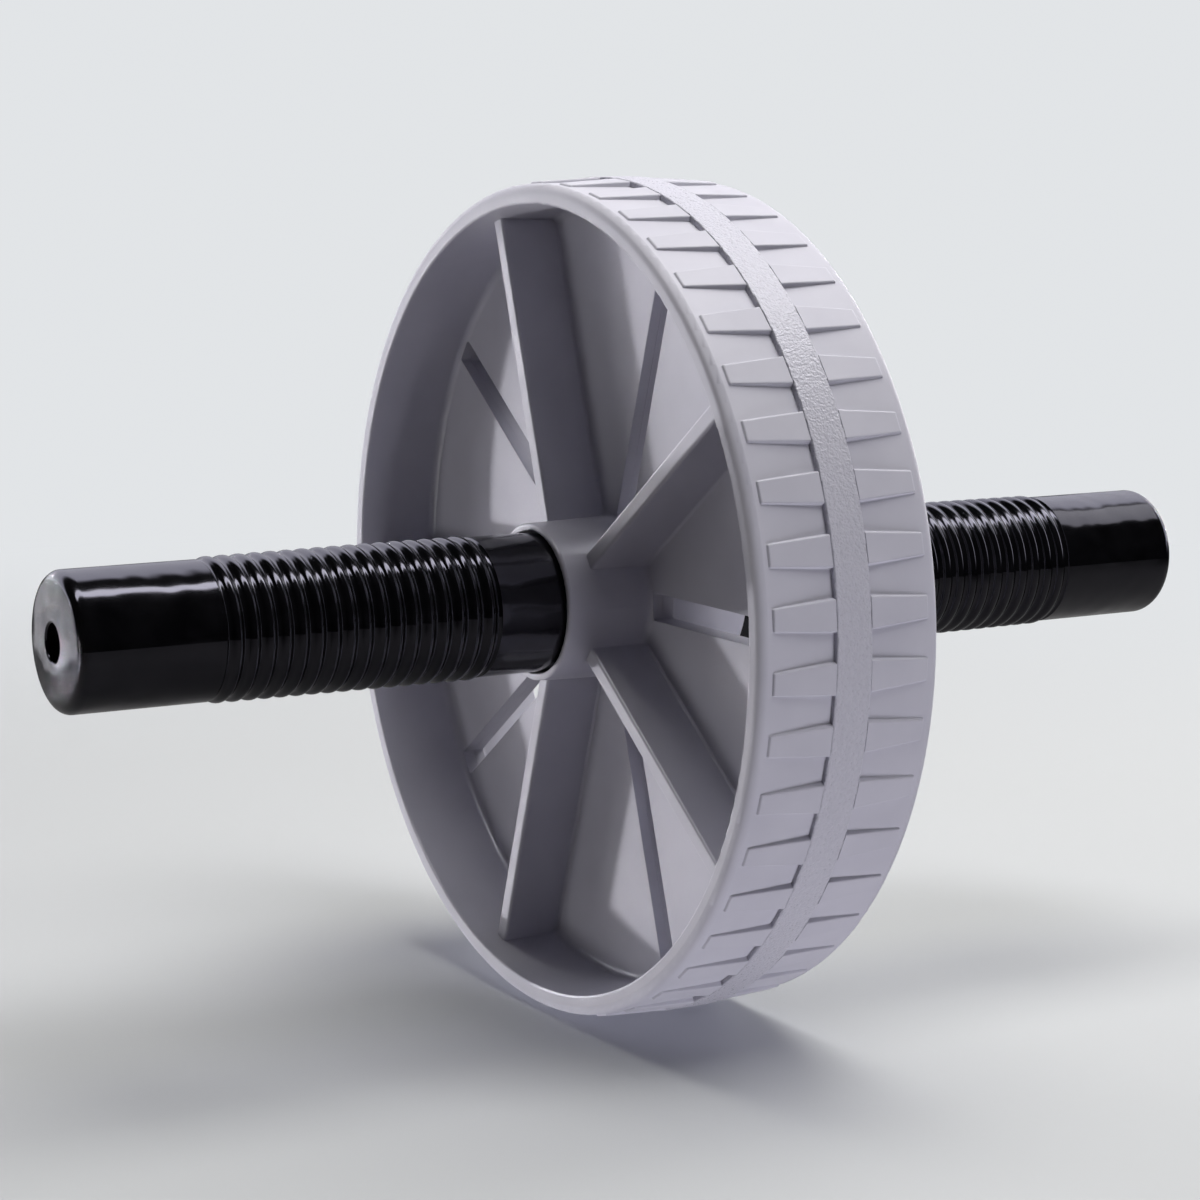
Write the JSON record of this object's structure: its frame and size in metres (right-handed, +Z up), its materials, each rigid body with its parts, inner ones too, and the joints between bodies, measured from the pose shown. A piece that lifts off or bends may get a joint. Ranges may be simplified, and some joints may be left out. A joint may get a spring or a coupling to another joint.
{
  "type": "ab wheel roller",
  "caption": "Ab roller: a wide ribbed plastic wheel with a lugged tread that spins and slides on a straight axle, with a ridged grip on each end.",
  "frame": {"origin": "middle of the axle, midway between the grips' outer ends", "axes": "+Y along the axle to the right grip, +Z up, wheel turning about +Y"},
  "size_m": [0.1836, 0.278, 0.1836],
  "materials": {
    "tube_steel": "drawn steel tube, lightly oiled",
    "grip_pvc": "glossy soft black PVC",
    "washer_steel": "plated pressed steel",
    "bush_nylon": "natural nylon",
    "wheel_plastic": "satin moulded plastic, pale lavender grey",
    "band_plastic": "grained moulded plastic, pale lavender grey"
  },
  "bodies": {
    "handle": {"axle_tube": "tube_steel", "left_grip": "grip_pvc", "right_grip": "grip_pvc", "left_thrust_washer": "washer_steel", "right_thrust_washer": "washer_steel"},
    "hub_bushes": {"left_hub_bush": "bush_nylon", "right_hub_bush": "bush_nylon"},
    "wheel": {"left_wheel_half": "wheel_plastic", "right_wheel_half": "wheel_plastic", "tread_band": "band_plastic"}
  },
  "joints": [
    {"name": "wheel_float", "type": "slide", "parent": "handle", "child": "hub_bushes", "axis": [0, 1, 0], "range_m": [0, 0.013]},
    {"name": "wheel_spin", "type": "hinge", "parent": "hub_bushes", "child": "wheel", "pos_m": [0, -0.0065, 0], "axis": [0, 1, 0], "continuous": true}
  ]
}
